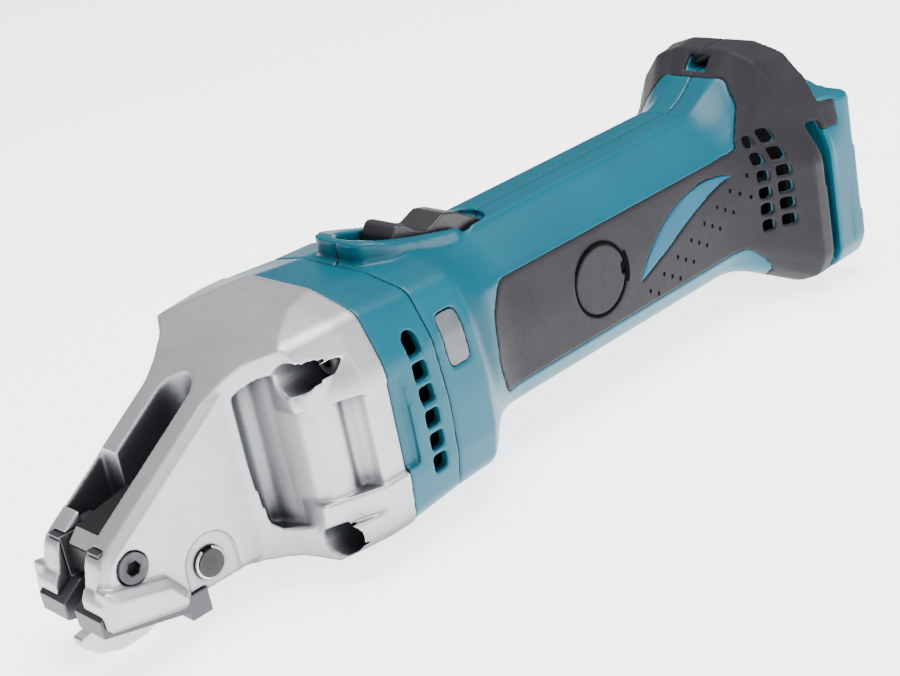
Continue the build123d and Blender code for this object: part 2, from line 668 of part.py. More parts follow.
def leg(side):
    """One leg of the yoke, with bevelled outer edges and a thick lower lip."""
    outline = head_side()[3:12] + [(238.0, -20.0)]
    radii = [0.5, 6.0, 4.0, 8.0, 5.0, 2.0, 0.8, 3.0, 3.0, 0.5]
    fitted = limit_radii(outline, radii)
    inner = round_plate(outline, fitted, LEG_IN, LEG_OUT - 2.4)
    outer = round_plate(outline, fitted, LEG_OUT - 2.4, LEG_OUT, taper=42)
    lip = round_plate([(300.9, -11.6), (302.0, -23.0), (278.2, -28.4), (277.0, -24.2), (282.2, -16.9)],
                      0.7, LEG_OUT - 3.0, LEG_OUT + 1.6)
    lip += round_plate([(300.9, -11.6), (302.0, -23.0), (278.2, -28.4), (277.0, -24.2), (282.2, -16.9)],
                       0.7, LEG_OUT + 1.6, LEG_OUT + 4.2, taper=38)
    toe = round_plate([(300.6, -13.2), (302.2, -16.0), (302.2, -22.9), (290.0, -25.6), (290.0, -16.0)],
                      0.6, 3.6, LEG_OUT)
    shape = inner + outer + lip + toe
    return shape if side > 0 else flip(shape)


def leg_recess(side):
    """Flat recess round the pivot pin, arched at its top and open at the bottom edge."""
    x, z = PIVOT
    cut = rod_y(LEG_OUT - 1.3, LEG_OUT + 2, 8.4, x - 0.4, z + 0.4)
    cut += block((x - 8.8, LEG_OUT - 1.3, z - 14), (x + 8.0, LEG_OUT + 2, z + 0.4))
    return cut if side > 0 else flip(cut)


def inner_cuts():
    """Hollows of the casting: gear chamber, bearing seat, fork chamber, blade slot and strip channel."""
    cuts = rod_x(HEAD_X - 1, 222.2, 14.2, 0, CRANK_Z) + rod_x(HEAD_X - 1, 222.2, 12.0)
    cuts += rod_x(222.0, 227.9, 10.5, 0, CRANK_Z)
    slot = [(227.6, 26.2), (243.4, 26.2), (248.8, 16.0), (252.0, 11.5), (256.0, 6.0), (330.0, 6.0),
            (330.0, -60.0), (257.0, -60.0), (257.0, -24.0), (245.0, -11.0), (234.0, 3.0), (227.6, 4.0)]
    cuts += side_plate(slot, -LEG_IN, LEG_IN)
    channel = rod_z(4, 60, LEG_IN, 257.0, 0) + block((257.0, -LEG_IN, 4), (330, LEG_IN, 60))
    return cuts + channel


def blade_pockets(side):
    """Seats for one side blade, its lug and its bolt."""
    cut = side_plate(blade_outline(0.05), SIDE_IN - 0.5, BLADE_OUT + 0.05) + blade_heel(0.05)
    cut += side_plate([(283.0, -12.0), (283.0, -3.6), (297.0, -3.6), (297.0, -20.0), (283.0, -20.0)],
                      LEG_IN - 1, LUG_OUT + 0.05)
    cut += rod_y(LUG_OUT, LEG_OUT + 5, 2.65, *BOLT) + rod_y(LEG_OUT - 1.9, LEG_OUT + 6, 4.6, *BOLT)
    return cut if side > 0 else flip(cut)


def blade_outline(gap=0.0):
    """Side outline of a side blade's cutting bar; gap widens it at the top and rear."""
    return [(303.0, -25.0), (303.0, -19.8 + gap), (296.5, -15.6 + gap), (277.5 - gap, -17.2 + gap),
            (275.6 - gap, -24.0), (275.6 - gap, -32.0)]


def blade_heel(gap=0.0):
    """Small block at the rear of a side blade, outside the centre blade's arm."""
    return block((270.2 - gap, 8.0 - gap, -34.4), (277.0, BLADE_OUT + gap, -27.0 + gap))


def head_housing():
    """Aluminium casting: gear case and both legs in one piece."""
    body = head_blank() + leg(1) + leg(-1)
    body -= scoops()
    body += corner_pads()
    body -= inner_cuts()
    for side in (1, -1):
        body -= leg_recess(side)
        body -= blade_pockets(side)
    body -= rod_y(-30, 30, 4.0, PIVOT[0], PIVOT[1])
    relief = side_plate([(289.0, 20.0), (274.0, 20.0), (274.0, -11.0), (280.0, -14.5), (289.0, -14.5)],
                        -LEG_OUT + 1.6, -LEG_IN + 1) & side_plate(
                            [(272.0, 30.0), (272.0, -20.0), (289.0, -20.0), (289.0, 30.0)], -LEG_OUT, 0)
    body -= relief
    for y, z in HEAD_SCREWS:
        body -= rod_x(SEAT_X, 241.0, 4.8, y, z)
        body -= rod_x(HEAD_X - 1, SEAT_X + 1, 2.4, y, z)
    return body


def head_screws():
    """Four socket-head screws that hold the head and front cover together."""
    screws = []
    for y, z in HEAD_SCREWS:
        head = rod_x(SEAT_X, SEAT_X + 3.4, 3.9, y, z)
        head -= rod_x(SEAT_X + 1.6, SEAT_X + 4, 1.9, y, z)
        screws.append(head + rod_x(204.5, SEAT_X, 1.85, y, z))
    return screws


def side_blade(side):
    """Hardened bar under one leg, with the lug that its bolt screws into."""
    blade = side_plate(blade_outline(), SIDE_IN, BLADE_OUT) + blade_heel()
    blade += side_plate([(283.2, -19.0), (283.2, -3.8), (296.8, -3.8), (296.8, -19.0)], LEG_IN, LUG_OUT)
    blade -= rod_y(5, 16, 2.1, *BOLT)
    return blade if side > 0 else flip(blade)


def side_blade_bolts():
    """Two black socket-head bolts."""
    bolts = []
    for side in (1, -1):
        bolt = rod_y(LUG_OUT - 5.4, LEG_OUT - 1.9, 2.1, *BOLT) + rod_y(LEG_OUT - 1.9, LEG_OUT + 0.5, 4.3, *BOLT)
        socket = Rot(90, 0, 0) * extrude(RegularPolygon(2.3, 6), 2.2, both=True)
        bolt -= Pos(BOLT[0], LEG_OUT + 0.5, BOLT[1]) * socket
        bolts.append(bolt if side > 0 else flip(bolt))
    return bolts


def blade_pivot_pin():
    """Hardened cross pin with a ring groove near each end."""
    x, z = PIVOT
    pin = rod_y(-16.4, 16.4, 4.0, x, z)
    for y in (-15.7, 14.9):
        pin -= rod_y(y, y + 0.8, 5, x, z) - rod_y(y, y + 0.8, 3.3, x, z)
    return pin


def retaining_rings():
    """Bright snap rings in the pin's grooves."""
    x, z = PIVOT
    rings_made = []
    for y in (-15.7, 14.9):
        clip = rod_y(y, y + 0.8, 5.4, x, z) - rod_y(y - 1, y + 2, 3.3, x, z)
        clip -= block((x - 1.6, y - 1, z), (x + 1.6, y + 2, z + 8))
        rings_made.append(clip)
    return rings_made


def center_blade():
    """Moving blade: lower jaw, web, wide body between the legs, arm and the fork at the crank."""
    x, z = PIVOT
    upper = CRANK_Z + FORK_GAP
    lower = CRANK_Z - FORK_GAP
    jaw = [(272.0, -16.0), (294.6, -14.0), (295.2, -27.4), (303.4, -29.4), (303.8, -31.6), (299.4, -36.0),
           (292.6, -38.6), (284.0, -38.4), (275.0, -33.4), (262.0, -26.0)]
    blade = round_plate(jaw, limit_radii(jaw, [1, 1, 1.5, 0.3, 0.6, 4, 8, 12, 8, 2]), -BLADE_HALF, BLADE_HALF)
    body = [(295.4, -13.8), (295.4, -6.4), (291.4, -2.4), (270.0, 1.6), (256.5, 1.2), (244.6, 14.4),
            (240.4, upper + FORK_WALL), (231.0, upper + FORK_WALL), (231.0, upper), (238.4, upper),
            (238.4, lower), (231.0, lower), (231.0, lower - FORK_WALL), (238.4, lower - FORK_WALL), (250.0, -8.0),
            (261.4, -20.8), (273.6, -19.0), (276.6, -13.8)]
    arm = side_plate(body, -6.1, 6.1)
    arm += rod_y(-6.1, 6.1, 6.4, x, z)
    blade += arm
    blade -= rod_y(-10, 10, 4.0 + RUN_GAP, x, z)
    return blade


# ---------------------------------------------------------------- switch, terminals and electronics

def switch_knob():
    """Sliding button: front bump, finger dip and rear hump, with grip lines across it."""
    outline = [(141.6, 27.8), (141.8, 28.6), (146.5, 31.6), (152.0, 35.0), (156.6, 36.2), (160.6, 34.6),
               (163.6, 33.6), (168.0, 35.4), (172.4, 39.0), (175.2, 39.4), (177.2, 36.6), (178.6, 28.5),
               (160.0, 27.8)]
    knob = round_plate(outline, limit_radii(outline, [0.4, 2, 6, 4, 3, 5, 4, 6, 3, 2.4, 4, 0.4, 5]), -6.9, 6.9)
    for i in range(5):
        knob -= Pos(147.6 + 1.9 * i, 0, 32.8 + 1.25 * i) * Rot(0, -38, 0) * Box(0.7, 11.0, 1.2)
    knob -= block((151.0, -3.1, 25), (170.0, 3.1, 29.4))
    return knob


def switch_link():
    """Flat rod from the button back to the electric switch."""
    link = block((83.4, -2.4, 22.0), (170.0, 2.4, 24.4))
    link += block((153.0, -2.6, 24.4), (168.0, 2.6, 28.9))
    link += block((83.4, -2.4, 9.0), (85.8, 2.4, 22.0))
    link += block((73.0, -1.6, 9.2), (83.4, 1.6, 11.2))
    return link


def switch_body():
    """Closed plastic case of the electric switch."""
    case = block((46.0, -11.5, -12.5), (80.0, 11.5, 14.0))
    case = fillet(case.edges().filter_by(Axis.X), 1.6)
    case -= block((71.0, -2.6, 8.2), (81.0, 2.6, 12.4))
    for y in (-7.0, 0.0, 7.0):
        case += block((40.6, y - 2.0, -8.0), (46.2, y + 2.0, -5.0))
    return case


def controller_board():
    """Small circuit board under the switch, with its power transistor and capacitor."""
    board = block((47.0, -10.5, -17.8), (79.0, 10.5, -16.2))
    board += block((52.0, -6.0, -16.3), (60.0, 3.0, -13.4))
    board += rod_x(63.0, 74.0, 2.4, 4.0, -18.9)
    return board


def terminal_block():
    """Black carrier of the battery contacts."""
    base = block((10.2, -21.0, -24.0), (14.6, 21.0, 15.0))
    base += block((4.0, -15.0, -19.0), (10.2, 15.0, 10.0))
    for y in CONTACT_Y:
        base -= block((2.0, y - 1.9, -20.0), (9.2, y + 1.9, 6.0))
        base -= block((9.0, y - 0.5, -8.0), (19.0, y + 0.5, -4.0))
    base -= block((12.6, -26.0, -30.0), (16.0, -16.2, 20.0))
    return base



def battery_contacts():
    """Three contact blades with tails for the leads."""
    contacts = []
    for y in CONTACT_Y:
        blade = block((4.6, y - 0.5, -17.5), (9.2, y + 0.5, 4.0))
        blade += block((9.2, y - 0.5, -8.0), (19.0, y + 0.5, -4.0))
        contacts.append(blade)
    return contacts


def power_leads():
    """Leads between the contacts, the switch and the brush holders."""
    leads = []
    for y, z_end in ((-10.0, -6.5), (10.0, -6.5)):
        path = FilletPolyline((19.0, y, -6.0), (27.0, y, -6.0), (33.0, y * 0.7, z_end), (40.6, y * 0.7, z_end),
                              radius=4)
        leads.append(sweep(Plane(origin=path @ 0, z_dir=path % 0) * Circle(1.1), path=path))
    return leads


# ---------------------------------------------------------------- write every node

def write(name, shape):
    """One STEP file per node; a list is written as separate solids."""
    solids = []
    for item in (shape if isinstance(shape, list) else [shape]):
        solids += item.solids()
    result = solids[0] if len(solids) == 1 else Compound(children=solids)
    result.label = name
    export_step(result, "parts/" + name + ".step")


def make_all():
    """Every node of the tool by name."""
    nodes = housing_parts()
    nodes["front_cover"] = front_cover()
    nodes["light_lens"] = light_lens()
    nodes["light_holder"] = light_holder()
    nodes["light_led"] = light_led()
    for side, word in ((1, "left"), (-1, "right")):
        nodes[word + "_brush_holder"] = brush_holder(side)
        nodes[word + "_carbon_brush"] = carbon_brush(side)
        nodes[word + "_brush_spring"] = brush_spring(side)
        nodes[word + "_brush_cap"] = brush_cap(side)
        nodes[word + "_side_blade"] = side_blade(side)
    nodes["housing_screws"] = housing_screws()
    nodes["stator_can"] = stator_can()
    nodes["stator_magnets"] = stator_magnets()
    nodes["motor_shaft"] = motor_shaft()
    nodes["armature_core"] = armature_core()
    nodes["armature_windings"] = armature_windings()
    nodes["commutator"] = commutator()
    nodes["cooling_fan"] = cooling_fan()
    nodes["baffle"] = baffle()
    nodes["motor_rear_bearing"] = bearing(95.2, 5.8, 3.0, 9.5)
    nodes["motor_front_bearing"] = bearing(207.4, 6.0, SHAFT_R, 9.5)
    nodes["crank_front_bearing"] = bearing(222.4, 5.2, 6.0, 10.5, CRANK_Z)
    nodes["crank_rear_bush"] = crank_rear_bush()
    nodes["bearing_plate"] = bearing_plate()
    nodes["crank_gear"] = crank_gear()
    nodes["crankshaft"] = crankshaft()
    nodes["crank_roller"] = crank_roller()
    nodes["head_housing"] = head_housing()
    nodes["head_screws"] = head_screws()
    nodes["side_blade_bolts"] = side_blade_bolts()
    nodes["blade_pivot_pin"] = blade_pivot_pin()
    nodes["retaining_rings"] = retaining_rings()
    nodes["center_blade"] = center_blade()
    nodes["switch_knob"] = switch_knob()
    nodes["switch_link"] = switch_link()
    nodes["switch_body"] = switch_body()
    nodes["controller_board"] = controller_board()
    nodes["terminal_block"] = terminal_block()
    nodes["battery_contacts"] = battery_contacts()
    nodes["power_leads"] = power_leads()
    return nodes


os.makedirs("parts", exist_ok=True)
for node_name, node_shape in make_all().items():
    write(node_name, node_shape)
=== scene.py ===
"""Looks of the cordless straight shear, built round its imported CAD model. Metres, in the CAD frame."""
import json
from math import cos, pi, radians, sin

import bpy
import numpy as np
from mathutils import Matrix, Vector
from mathutils.bvhtree import BVHTree


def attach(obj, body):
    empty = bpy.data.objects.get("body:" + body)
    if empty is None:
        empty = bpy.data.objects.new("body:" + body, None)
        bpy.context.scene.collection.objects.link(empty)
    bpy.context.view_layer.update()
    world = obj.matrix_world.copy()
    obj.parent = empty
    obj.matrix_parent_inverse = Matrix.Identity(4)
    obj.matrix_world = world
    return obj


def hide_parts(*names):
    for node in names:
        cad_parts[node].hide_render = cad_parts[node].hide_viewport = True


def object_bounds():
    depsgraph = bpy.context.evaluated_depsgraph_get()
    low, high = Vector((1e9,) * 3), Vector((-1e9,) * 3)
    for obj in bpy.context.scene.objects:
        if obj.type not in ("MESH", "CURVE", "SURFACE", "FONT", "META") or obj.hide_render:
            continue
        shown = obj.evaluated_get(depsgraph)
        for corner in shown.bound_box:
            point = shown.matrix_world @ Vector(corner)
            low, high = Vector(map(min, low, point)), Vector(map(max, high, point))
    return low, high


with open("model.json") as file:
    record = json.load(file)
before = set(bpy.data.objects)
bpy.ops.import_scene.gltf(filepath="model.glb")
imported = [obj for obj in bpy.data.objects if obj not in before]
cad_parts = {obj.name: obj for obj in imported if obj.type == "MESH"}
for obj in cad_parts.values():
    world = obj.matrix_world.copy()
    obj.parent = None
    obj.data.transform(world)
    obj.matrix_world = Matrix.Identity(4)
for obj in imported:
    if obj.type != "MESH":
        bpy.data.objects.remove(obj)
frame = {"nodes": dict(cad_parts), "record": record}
CAD_LOW, CAD_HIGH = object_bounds()

MM = 0.001
MOST_TRIANGLES = 190000  # in one piece
SCENE = bpy.context.scene
NODES = frame["nodes"]
BODY_OF = {node: body for body, members in frame["record"]["behaviour"]["bodies"].items() for node in members}
SLOT_OF = {row["node"]: row["material_slot"] for row in frame["record"]["subparts"]}


# ---------------------------------------------------------------- materials

class Surface:
    """A principled material whose colour, roughness and relief come from noise in the object's own space."""

    def __init__(self, name, rough, metal=0.0, coat=0.0, coat_rough=0.1, sheen=0.0):
        self.material = bpy.data.materials.new(name)
        self.material.use_nodes = True
        self.tree = self.material.node_tree
        self.shader = self.tree.nodes["Principled BSDF"]
        self.shader.inputs["Roughness"].default_value = rough
        self.shader.inputs["Metallic"].default_value = metal
        self.shader.inputs["Coat Weight"].default_value = coat
        self.shader.inputs["Coat Roughness"].default_value = coat_rough
        self.shader.inputs["Sheen Weight"].default_value = sheen
        self.place = self.node("ShaderNodeTexCoord").outputs["Object"]
        self.relief = None

    def node(self, kind, **values):
        made = self.tree.nodes.new(kind)
        for key, value in values.items():
            setattr(made, key, value)
        return made

    def link(self, source, target):
        self.tree.links.new(source, target)

    def noise(self, size, detail=3.0, stretch=(1, 1, 1), distortion=0.0):
        """Noise whose features are about size metres across, longer along axes where stretch is small."""
        mapping = self.node("ShaderNodeMapping")
        mapping.inputs["Scale"].default_value = stretch
        self.link(self.place, mapping.inputs["Vector"])
        noise = self.node("ShaderNodeTexNoise")
        noise.inputs["Scale"].default_value = 1.0 / size
        noise.inputs["Detail"].default_value = detail
        noise.inputs["Distortion"].default_value = distortion
        self.link(mapping.outputs["Vector"], noise.inputs["Vector"])
        return noise.outputs["Fac"]

    def cells(self, size, feature="F1"):
        """Cell pattern with cells about size metres across."""
        cells = self.node("ShaderNodeTexVoronoi", feature=feature)
        cells.inputs["Scale"].default_value = 1.0 / size
        self.link(self.place, cells.inputs["Vector"])
        return cells.outputs["Distance"]

    def ramp(self, source, stops):
        """Colour ramp through (position, colour) stops; a colour is a grey number or three numbers."""
        ramp = self.node("ShaderNodeValToRGB")
        elements = ramp.color_ramp.elements
        while len(elements) < len(stops):
            elements.new(0.5)
        for element, (position, value) in zip(elements, stops):
            shade = (value,) * 3 if isinstance(value, (int, float)) else value
            element.position = position
            element.color = (*shade, 1.0)
        self.link(source, ramp.inputs["Fac"])
        return ramp.outputs["Color"]

    def mix(self, share, first, second):
        """Mix of two colours or colour outputs, by an output that runs from 0 to 1."""
        mix = self.node("ShaderNodeMix", data_type="RGBA")
        for value, socket in ((first, mix.inputs[6]), (second, mix.inputs[7])):
            if isinstance(value, tuple):
                socket.default_value = (*value, 1.0)
            else:
                self.link(value, socket)
        self.link(share, mix.inputs[0])
        return mix.outputs[2]

    def colour(self, source):
        if isinstance(source, tuple):
            self.shader.inputs["Base Color"].default_value = (*source, 1.0)
        else:
            self.link(source, self.shader.inputs["Base Color"])
        return self

    def rough(self, source, low, high):
        """Roughness that follows a pattern between two values."""
        span = self.node("ShaderNodeMapRange")
        span.inputs["To Min"].default_value = low
        span.inputs["To Max"].default_value = high
        self.link(source, span.inputs["Value"])
        self.link(span.outputs["Result"], self.shader.inputs["Roughness"])
        return self

    def bump(self, source, height, strength=1.0):
        """Adds relief of the given height in metres."""
        bump = self.node("ShaderNodeBump")
        bump.inputs["Distance"].default_value = height
        bump.inputs["Strength"].default_value = strength
        self.link(source, bump.inputs["Height"])
        if self.relief is not None:
            self.link(self.relief, bump.inputs["Normal"])
        self.relief = bump.outputs["Normal"]
        self.link(self.relief, self.shader.inputs["Normal"])
        return self

    def edge_wear(self, colour, worn, low, high):
        """Lightens sharp outer edges, where hands and sheet metal rub."""
        point = self.node("ShaderNodeNewGeometry").outputs["Pointiness"]
        spots = self.noise(4 * MM, 6.0)
        add = self.node("ShaderNodeMath", operation="MULTIPLY_ADD")
        add.inputs[1].default_value = 0.06
        self.link(spots, add.inputs[0])
        self.link(point, add.inputs[2])
        share = self.ramp(add.outputs[0], [(low, 0.0), (high, 1.0)])
        return self.mix(share, colour, worn)


    def painted_hollow_shade(self, colour, shade_colour, reach, low=0.35, high=0.85):
        """Paints shade into hollows by ambient occlusion, darkening the colour towards the shade colour; reach is the
        hollow's size in metres.
        """
        occlusion = self.node("ShaderNodeAmbientOcclusion")
        occlusion.samples = 8
        occlusion.inputs["Distance"].default_value = reach
        share = self.ramp(occlusion.outputs["AO"], [(low, 0.0), (high, 1.0)])
        return self.mix(share, shade_colour, colour)


def shade(low, high):
    """Two close colours as ramp stops."""
    return [(0.3, low), (0.7, high)]


def teal_plastic():
    s = Surface("teal_plastic", 0.36, coat=0.08, coat_rough=0.2)
    s.shader.inputs["Specular IOR Level"].default_value = 0.28
    cloud = s.noise(30 * MM)
    body = s.ramp(cloud, shade((0.000, 0.084, 0.128), (0.001, 0.096, 0.144)))
    # painted shade darkens the teal shell in its hollows
    s.colour(s.painted_hollow_shade(body, (0.000, 0.004, 0.007), 9 * MM, 0.35, 0.75))
    s.rough(s.noise(3 * MM, 5.0), 0.33, 0.42)
    s.bump(s.noise(0.35 * MM, 2.0), 0.012 * MM, 0.5)
    return s.material


def accent_plastic():
    s = Surface("accent_plastic", 0.5)
    s.shader.inputs["Specular IOR Level"].default_value = 0.25
    s.colour(s.ramp(s.noise(20 * MM), shade((0.001, 0.088, 0.150), (0.002, 0.100, 0.168))))
    s.rough(s.noise(2 * MM, 5.0), 0.4, 0.5)
    s.bump(s.noise(0.3 * MM, 2.0), 0.012 * MM, 0.6)
    return s.material


def dark_rubber():
    s = Surface("dark_rubber", 0.62, sheen=0.08)
    s.shader.inputs["Sheen Roughness"].default_value = 0.45
    s.shader.inputs["Specular IOR Level"].default_value = 0.28
    body = s.ramp(s.noise(12 * MM, 5.0), shade((0.0075, 0.0070, 0.0100), (0.0115, 0.0108, 0.0150)))
    # painted shade darkens the rubber in its hollows
    s.colour(s.painted_hollow_shade(body, (0.002, 0.002, 0.003), 8 * MM, 0.3, 0.8))
    s.rough(s.noise(2.5 * MM, 6.0), 0.52, 0.7)
    s.bump(s.cells(0.55 * MM), 0.02 * MM, 0.6)
    s.bump(s.noise(0.9 * MM, 4.0), 0.02 * MM, 0.4)
    return s.material


def black_plastic():
    s = Surface("black_plastic", 0.4, coat=0.1)
    s.colour(s.ramp(s.noise(8 * MM, 4.0), shade((0.010, 0.010, 0.012), (0.017, 0.017, 0.020))))
    s.rough(s.noise(1.5 * MM, 6.0), 0.34, 0.5)
    s.bump(s.noise(0.3 * MM, 2.0), 0.015 * MM, 0.5)
    return s.material


def silver_casting():
    s = Surface("silver_casting", 0.4, metal=0.72, coat=0.15, coat_rough=0.3)
    flakes = s.cells(0.28 * MM)
    base = s.ramp(s.noise(18 * MM, 4.0), shade((0.40, 0.408, 0.425), (0.46, 0.468, 0.485)))
    bright = s.mix(s.ramp(flakes, [(0.15, 1.0), (0.5, 0.0)]), base, (0.54, 0.545, 0.555))
    worn = s.edge_wear(bright, (0.68, 0.685, 0.69), 0.56, 0.62)
    # painted shade darkens the casting in its scoops, pockets and other hollows
    s.colour(s.painted_hollow_shade(worn, (0.055, 0.06, 0.07), 30 * MM, 0.42, 0.88))
    s.rough(s.noise(2 * MM, 6.0), 0.36, 0.5)
    s.bump(s.noise(1.4 * MM, 4.0), 0.035 * MM, 0.35)
    s.bump(s.noise(0.25 * MM, 2.0), 0.01 * MM, 0.4)
    return s.material


def blade_steel(name, dark, light, metal=0.8, polished_below=None):
    """Heat-treated dark steel with ground faces; below a height in metres it is polished bright."""
    s = Surface(name, 0.34, metal=metal)
    s.shader.inputs["Specular IOR Level"].default_value = 0.2
    grain = s.noise(0.8 * MM, 6.0, stretch=(1, 1, 9))
    body = s.ramp(grain, shade(dark, light))
    if polished_below is not None:
        split = s.node("ShaderNodeSeparateXYZ")
        s.link(s.place, split.inputs["Vector"])
        span = s.node("ShaderNodeMapRange")
        span.inputs["From Min"].default_value = polished_below[0]
        span.inputs["From Max"].default_value = polished_below[1]
        s.link(split.outputs["Z"], span.inputs["Value"])
        body = s.mix(span.outputs["Result"], (0.62, 0.62, 0.63), body)
    s.colour(s.edge_wear(body, (0.3, 0.3, 0.31), 0.58, 0.66))
    s.rough(grain, 0.3, 0.46)
    s.bump(grain, 0.012 * MM, 0.5)
    return s.material


def bright_metal(name, colour, rough=0.28):
    s = Surface(name, rough, metal=1.0)
    grain = s.noise(0.6 * MM, 6.0, stretch=(8, 1, 1))
    low = tuple(c * 0.86 for c in colour)
    s.colour(s.ramp(grain, shade(low, colour)))
    s.rough(grain, rough - 0.08, rough + 0.12)
    s.bump(grain, 0.008 * MM, 0.4)
    return s.material


def turned_black():
    """Blackened fastener steel."""
    s = Surface("black_steel", 0.5)
    s.shader.inputs["Specular IOR Level"].default_value = 0.12
    s.colour(s.edge_wear(s.ramp(s.noise(1.5 * MM, 5.0), shade((0.008, 0.008, 0.009), (0.016, 0.016, 0.018))),
                         (0.12, 0.12, 0.13), 0.58, 0.68))
    s.rough(s.noise(0.8 * MM, 5.0), 0.42, 0.6)
    return s.material


def lens_material():
    """Frosted clear plastic of the job light's window."""
    s = Surface("lens", 0.3, coat=0.2, coat_rough=0.08)
    s.shader.inputs["Transmission Weight"].default_value = 0.2
    s.colour(s.ramp(s.noise(5 * MM), shade((0.10, 0.115, 0.13), (0.15, 0.165, 0.185))))
    s.bump(s.cells(1.1 * MM, "SMOOTH_F1"), 0.05 * MM, 0.5)
    return s.material


def plain(name, low, high, rough, metal=0.0, grain=1.0, relief=0.02):
    """Everyday material: two close colours, uneven gloss and a fine relief."""
    s = Surface(name, rough, metal=metal)
    s.colour(s.ramp(s.noise(5 * MM, 5.0), shade(low, high)))
    s.rough(s.noise(1.2 * MM, 5.0), rough - 0.06, rough + 0.1)
    s.bump(s.noise(grain * MM, 3.0), relief * MM, 0.5)
    return s.material


def joint_shadow():
    """Unlit depth of a narrow joint."""
    s = Surface("joint_shadow", 0.9)
    s.shader.inputs["Specular IOR Level"].default_value = 0.05
    s.colour(s.ramp(s.noise(2 * MM), shade((0.0015, 0.0015, 0.002), (0.003, 0.003, 0.004))))
    return s.material


FINISH = {
    "teal_plastic": teal_plastic(),
    "dark_rubber": dark_rubber(),
    "silver_casting": silver_casting(),
    "tool_steel": blade_steel("tool_steel", (0.06, 0.06, 0.066), (0.10, 0.10, 0.11)),
    "black_steel": turned_black(),
    "bright_steel": bright_metal("bright_steel", (0.66, 0.66, 0.67)),
    "bearing_steel": bright_metal("bearing_steel", (0.58, 0.58, 0.60), 0.22),
    "black_plastic": black_plastic(),
    "lens": lens_material(),
    "white_diode": plain("white_diode", (0.75, 0.74, 0.62), (0.82, 0.81, 0.70), 0.3),
    "brass": bright_metal("brass", (0.72, 0.52, 0.22)),
    "copper": bright_metal("copper", (0.72, 0.34, 0.18)),
    "carbon": plain("carbon", (0.02, 0.02, 0.022), (0.045, 0.045, 0.05), 0.6, metal=0.2, grain=0.3),
    "magnet": plain("magnet", (0.035, 0.035, 0.04), (0.06, 0.06, 0.065), 0.5, metal=0.3),
    "aluminium": bright_metal("aluminium", (0.70, 0.71, 0.72), 0.36),
    "board_green": plain("board_green", (0.005, 0.10, 0.03), (0.01, 0.14, 0.045), 0.35),
    "red_insulation": plain("red_insulation", (0.45, 0.012, 0.01), (0.55, 0.02, 0.016), 0.45),
}
ACCENT = accent_plastic()
# painted shade for narrow joints and for the skin's small marks
PAINTED_JOINT_SHADE = joint_shadow()
PIN_END = plain("pin_end", (0.020, 0.018, 0.018), (0.045, 0.040, 0.040), 0.34, metal=0.6)
CENTRE_STEEL = blade_steel("centre_blade_steel", (0.010, 0.009, 0.011), (0.022, 0.020, 0.023), 0.3,
                           (-26.5 * MM, -25.0 * MM))


def paint(piece, material):
    """One material on the whole piece."""
    piece.data.materials.clear()
    piece.data.materials.append(material)


# ---------------------------------------------------------------- mesh tools

def link(name, mesh):
    piece = bpy.data.objects.new(name, mesh)
    SCENE.collection.objects.link(piece)
    return piece


def settled(piece):
    """Applies the piece's modifiers to its mesh."""
    bpy.context.view_layer.update()
    graph = bpy.context.evaluated_depsgraph_get()
    mesh = bpy.data.meshes.new_from_object(piece.evaluated_get(graph))
    old = piece.data
    piece.modifiers.clear()
    piece.data = mesh
    bpy.data.meshes.remove(old)
    return piece


def points_of(mesh):
    co = np.empty(len(mesh.vertices) * 3, np.float32)
    mesh.vertices.foreach_get("co", co)
    return co.reshape(-1, 3).astype(float)


def put_points(mesh, points):
    mesh.vertices.foreach_set("co", points.astype(np.float32).ravel())
    mesh.update()


def smooth_faces(mesh):
    mesh.polygons.foreach_set("use_smooth", np.ones(len(mesh.polygons), bool))
    mesh.update()


def moulded(node, name, voxel, rounds, material=None):
    """Copy of a CAD node with the small rounded edges of a moulded, cast or stoned part."""
    piece = link(name, NODES[node].data.copy())
    remesh = piece.modifiers.new("voxels", "REMESH")
    remesh.mode = "VOXEL"
    remesh.voxel_size = voxel * MM
    soft = piece.modifiers.new("soft", "SMOOTH")
    soft.factor = 0.5
    soft.iterations = rounds
    settled(piece)
    piece.data.calc_loop_triangles()
    triangles = len(piece.data.loop_triangles)
    if triangles > MOST_TRIANGLES:
        thin = piece.modifiers.new("thin", "DECIMATE")
        thin.ratio = MOST_TRIANGLES / triangles
        settled(piece)
    smooth_faces(piece.data)
    paint(piece, material or FINISH[SLOT_OF[node]])
    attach(piece, BODY_OF[node])
    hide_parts(node)
    return piece


def swept_tube(path, radius, sides=12, closed=True):
    """Points and faces of a round tube along a list of points in one plane across Y."""
    verts, faces = [], []
    count = len(path)
    for i, here in enumerate(path):
        before = path[(i - 1) % count] if closed or i > 0 else here
        after = path[(i + 1) % count] if closed or i < count - 1 else here
        along = (after - before).normalized()
        across = along.cross(Vector((0, 1, 0)))
        for k in range(sides):
            turn = 2 * pi * k / sides
            verts.append(here + radius * (cos(turn) * across + sin(turn) * Vector((0, 1, 0))))
    for i in range(count if closed else count - 1):
        for k in range(sides):
            a, b = i * sides + k, i * sides + (k + 1) % sides
            c, d = ((i + 1) % count) * sides + (k + 1) % sides, ((i + 1) % count) * sides + k
            faces.append((a, b, c, d))
    if not closed:
        faces.append(tuple(range(sides))[::-1])
        faces.append(tuple(range((count - 1) * sides, count * sides)))
    return verts, faces


def built(name, parts, node, material):
    """New piece from (points, faces) lists; it rides and is sorted with the CAD node it belongs to."""
    verts, faces = [], []
    for more_verts, more_faces in parts:
        start = len(verts)
        verts += [tuple(v) for v in more_verts]
        faces += [tuple(start + i for i in face) for face in more_faces]
    mesh = bpy.data.meshes.new(name)
    mesh.from_pydata(verts, [], faces)
    mesh.validate()
    smooth_faces(mesh)
    piece = link(name, mesh)
    paint(piece, material)
    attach(piece, BODY_OF[node])
    return piece


# ---------------------------------------------------------------- pieces

